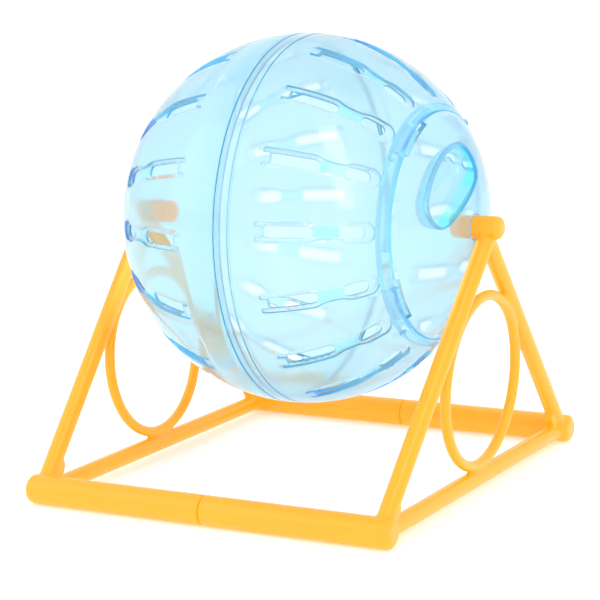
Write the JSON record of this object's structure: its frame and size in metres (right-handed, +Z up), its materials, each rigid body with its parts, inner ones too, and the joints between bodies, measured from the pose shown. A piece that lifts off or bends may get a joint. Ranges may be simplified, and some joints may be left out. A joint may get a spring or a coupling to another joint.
{
  "type": "hamster exercise ball on a stand",
  "caption": "Clear hollow exercise ball with air slots and a twist-off door, turning on pins in an A-shaped stand so that a hamster can run in place.",
  "frame": {"origin": "on the floor, under the middle of the ball", "axes": "+X along the pins towards the door side, +Y from the front bar to the rear bar, +Z up"},
  "size_m": [0.166, 0.1808, 0.1748],
  "materials": {
    "stand_plastic": "moulded warm yellow plastic, glossy",
    "ball_plastic": "clear pale blue plastic, glossy, darker blue where it is seen edge on"
  },
  "bodies": {
    "right_stand": {"right_frame": "stand_plastic", "front_bar_right": "stand_plastic", "rear_bar_right": "stand_plastic"},
    "left_stand": {"left_frame": "stand_plastic", "front_bar_left": "stand_plastic", "rear_bar_left": "stand_plastic"},
    "ball": {"ball_left_half": "ball_plastic", "ball_right_half": "ball_plastic"},
    "door": {"door": "ball_plastic"}
  },
  "joints": [
    {"name": "frame_pull", "type": "slide", "parent": "right_stand", "child": "left_stand", "axis": [-1, 0, 0], "range_m": [0, 0.012]},
    {"name": "ball_spin", "type": "hinge", "parent": "right_stand", "child": "ball", "pos_m": [0, 0, 0.1023], "axis": [1, 0, 0], "continuous": true},
    {"name": "door_twist", "type": "hinge", "parent": "ball", "child": "door", "pos_m": [0.06, 0, 0.1023], "axis": [1, 0, 0], "range_deg": [-20, 0]}
  ]
}
